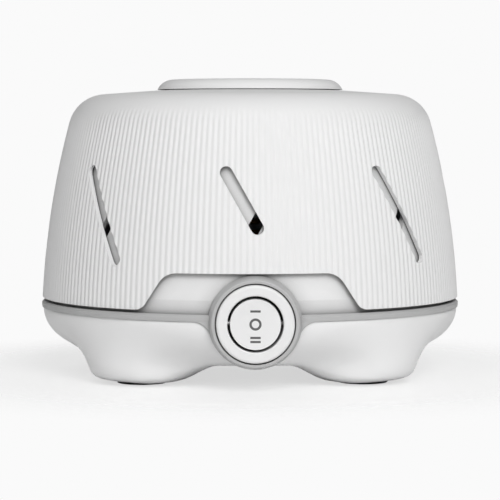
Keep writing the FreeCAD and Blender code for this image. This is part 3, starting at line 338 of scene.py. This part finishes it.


# The crevice darkening on white_shell, white_housing, grey_trim and white_switch is painted shade in slots,
# grooves and gaps between parts
MATERIALS = {
    "white_shell": material("white_shell", grey(0.89), 0.36, bump=0.03, mottle=0.008, painted_crevice_shade=0.4),
    "white_collar": material("white_collar", grey(0.84), 0.55, bump=0.05, mottle=0.01, specular=0.3),
    "white_housing": material("white_housing", grey(0.83), 0.5, bump=0.05, mottle=0.01, specular=0.3,
                              painted_crevice_shade=0.75, painted_shade_reach=0.006),
    "grey_trim": material("grey_trim", grey(0.5), 0.42, bump=0.05, mottle=0.015, specular=0.25, painted_crevice_shade=0.7),
    "white_switch": material("white_switch", grey(0.84), 0.3, bump=0.02, mottle=0.006, painted_crevice_shade=0.5,
                             painted_shade_reach=0.001),
    "grey_mark": material("grey_mark", grey(0.11), 0.5, mottle=0.04),
    "black_plastic": material("black_plastic", grey(0.03), 0.4, mottle=0.1),
    "black_rubber": material("black_rubber", grey(0.02), 0.75, bump=0.2, mottle=0.15, grain=1800.0),
    "steel": material("steel", grey(0.5), 0.3, 1.0, mottle=0.06, stretch=(1, 1, 0.1)),
    "laminations": material("laminations", (0.3, 0.31, 0.33), 0.42, 1.0, bands=("Z", 320.0, 0.5), bump=0.5),
    "zinc_plate": material("zinc_plate", (0.6, 0.6, 0.57), 0.36, 1.0, mottle=0.08),
    "copper_coil": material("copper_coil", (0.62, 0.24, 0.1), 0.3, 0.85, bands=("X", 500.0, 0.45), bump=0.6),
    "bearing_bronze": material("bearing_bronze", (0.56, 0.38, 0.16), 0.4, 1.0, mottle=0.08),
    "rotor_metal": material("rotor_metal", grey(0.5), 0.36, 1.0, bands=("DIAGONAL", 120.0, 0.35), bump=0.3),
    "nylon": material("nylon", (0.74, 0.72, 0.66), 0.45, mottle=0.02),
    "fan_plastic": material("fan_plastic", (0.05, 0.05, 0.055), 0.42, mottle=0.08),
    "wire_cover": material("wire_cover", grey(0.03), 0.5, mottle=0.1),
}

for entry in frame["record"]["subparts"]:
    node = nodes[entry["node"]]
    node.data.materials.clear()
    node.data.materials.append(MATERIALS[entry["material_slot"]])
    shade(node, 32)
collar.data.materials.clear()
collar.data.materials.append(MATERIALS["white_collar"])


# Floor: a pale glossy table that melts into the backdrop and is clear from below

FLOOR_HALF = 0.6
FLOOR_FADE_START = 0.078
FLOOR_FADE_END = 0.15
FLOOR_CLEAR = 0.58
FLOOR_GLOW = 0.18


def make_floor():
    mesh = bpy.data.meshes.new("floor")
    h = FLOOR_HALF
    mesh.from_pydata([(-h, -h, 0), (h, -h, 0), (h, h, 0), (-h, h, 0)], [], [(0, 1, 2, 3)])
    floor = bpy.data.objects.new("floor", mesh)
    bpy.context.scene.collection.objects.link(floor)
    mat = bpy.data.materials.new("floor")
    mat.use_nodes = True
    tree = mat.node_tree
    bsdf = tree.nodes["Principled BSDF"]
    out = tree.nodes["Material Output"]
    bsdf.inputs["Base Color"].default_value = (0.95, 0.95, 0.95, 1)
    bsdf.inputs["Roughness"].default_value = 0.35
    bsdf.inputs["Specular IOR Level"].default_value = 0.15
    coord = tree.nodes.new("ShaderNodeTexCoord")
    flat = tree.nodes.new("ShaderNodeVectorMath")
    flat.operation = "LENGTH"
    tree.links.new(coord.outputs["Object"], flat.inputs[0])
    fade = tree.nodes.new("ShaderNodeMapRange")
    fade.interpolation_type = "SMOOTHSTEP"
    fade.inputs["From Min"].default_value = FLOOR_FADE_START
    fade.inputs["From Max"].default_value = FLOOR_FADE_END
    fade.inputs["To Min"].default_value = FLOOR_CLEAR
    tree.links.new(flat.outputs["Value"], fade.inputs["Value"])
    side = tree.nodes.new("ShaderNodeNewGeometry")
    under = tree.nodes.new("ShaderNodeMath")
    under.operation = "MAXIMUM"
    tree.links.new(fade.outputs["Result"], under.inputs[0])
    tree.links.new(side.outputs["Backfacing"], under.inputs[1])
    clear = tree.nodes.new("ShaderNodeBsdfTransparent")
    path = tree.nodes.new("ShaderNodeLightPath")
    only = tree.nodes.new("ShaderNodeMath")
    only.operation = "MULTIPLY"
    tree.links.new(under.outputs["Value"], only.inputs[0])
    tree.links.new(path.outputs["Is Camera Ray"], only.inputs[1])
    glow = tree.nodes.new("ShaderNodeMath")
    glow.operation = "MULTIPLY"
    glow.inputs[1].default_value = FLOOR_GLOW
    tree.links.new(path.outputs["Is Camera Ray"], glow.inputs[0])
    bsdf.inputs["Emission Color"].default_value = (1, 1, 1, 1)
    tree.links.new(glow.outputs["Value"], bsdf.inputs["Emission Strength"])
    mix = tree.nodes.new("ShaderNodeMixShader")
    tree.links.new(only.outputs["Value"], mix.inputs["Fac"])
    tree.links.new(bsdf.outputs["BSDF"], mix.inputs[1])
    tree.links.new(clear.outputs["BSDF"], mix.inputs[2])
    tree.links.new(mix.outputs["Shader"], out.inputs["Surface"])
    mesh.materials.append(mat)


make_floor()

# Light: soft studio, brighter from the front right, with a pale backdrop that only the camera sees
BACKDROP = 0.956
AMBIENT = 0.25


def make_world():
    world = bpy.data.worlds.new("studio")
    bpy.context.scene.world = world
    world.use_nodes = True
    tree = world.node_tree
    tree.nodes.clear()
    out = tree.nodes.new("ShaderNodeOutputWorld")
    seen = tree.nodes.new("ShaderNodeBackground")
    seen.inputs["Color"].default_value = (BACKDROP, BACKDROP, BACKDROP, 1)
    lit = tree.nodes.new("ShaderNodeBackground")
    lit.inputs["Color"].default_value = (AMBIENT, AMBIENT, AMBIENT, 1)
    path = tree.nodes.new("ShaderNodeLightPath")
    mix = tree.nodes.new("ShaderNodeMixShader")
    tree.links.new(path.outputs["Is Camera Ray"], mix.inputs["Fac"])
    tree.links.new(lit.outputs["Background"], mix.inputs[1])
    tree.links.new(seen.outputs["Background"], mix.inputs[2])
    tree.links.new(mix.outputs["Shader"], out.inputs["Surface"])


make_world()


def area_light(name, azimuth, elevation, distance, size, watts, mirrored=True):
    data = bpy.data.lights.new(name, "AREA")
    data.shape = "DISK"
    data.size = size
    data.energy = watts
    light = bpy.data.objects.new(name, data)
    a = math.radians(azimuth)
    e = math.radians(elevation)
    place = Vector((math.sin(a) * math.cos(e), -math.cos(a) * math.cos(e), math.sin(e))) * distance
    light.location = place + Vector((0, 0, 0.05))
    light.rotation_euler = (-place).to_track_quat("-Z", "Y").to_euler()
    light.visible_glossy = mirrored
    bpy.context.scene.collection.objects.link(light)


area_light("key", 14, 32, 1.6, 0.9, 15.0)
area_light("left_fill", -30, 35, 1.6, 0.9, 2.6)
area_light("rear_fill", 175, 14, 1.8, 1.0, 9.0, mirrored=False)

# Camera: low and from the front, slightly round to the left of the switch
CAMERA_DISTANCE = 0.783
CAMERA_HEIGHT = 0.0866
CAMERA_TURN = 1.35
AIM_HEIGHT = 0.0425
FOCAL_PIXELS = 2220.0
FRAME_PIXELS = 500.0


def make_camera():
    data = bpy.data.cameras.new("camera")
    data.sensor_width = 36.0
    data.lens = 36.0 * FOCAL_PIXELS / FRAME_PIXELS
    data.clip_start = 0.01
    data.clip_end = 20.0
    camera = bpy.data.objects.new("camera", data)
    a = math.radians(CAMERA_TURN)
    camera.location = (-CAMERA_DISTANCE * math.sin(a), -CAMERA_DISTANCE * math.cos(a), CAMERA_HEIGHT)
    aim = Vector((0, 0, AIM_HEIGHT)) - Vector(camera.location)
    camera.rotation_euler = aim.to_track_quat("-Z", "Y").to_euler()
    bpy.context.scene.collection.objects.link(camera)
    bpy.context.scene.camera = camera


make_camera()
bpy.context.scene.view_settings.view_transform = "Standard"
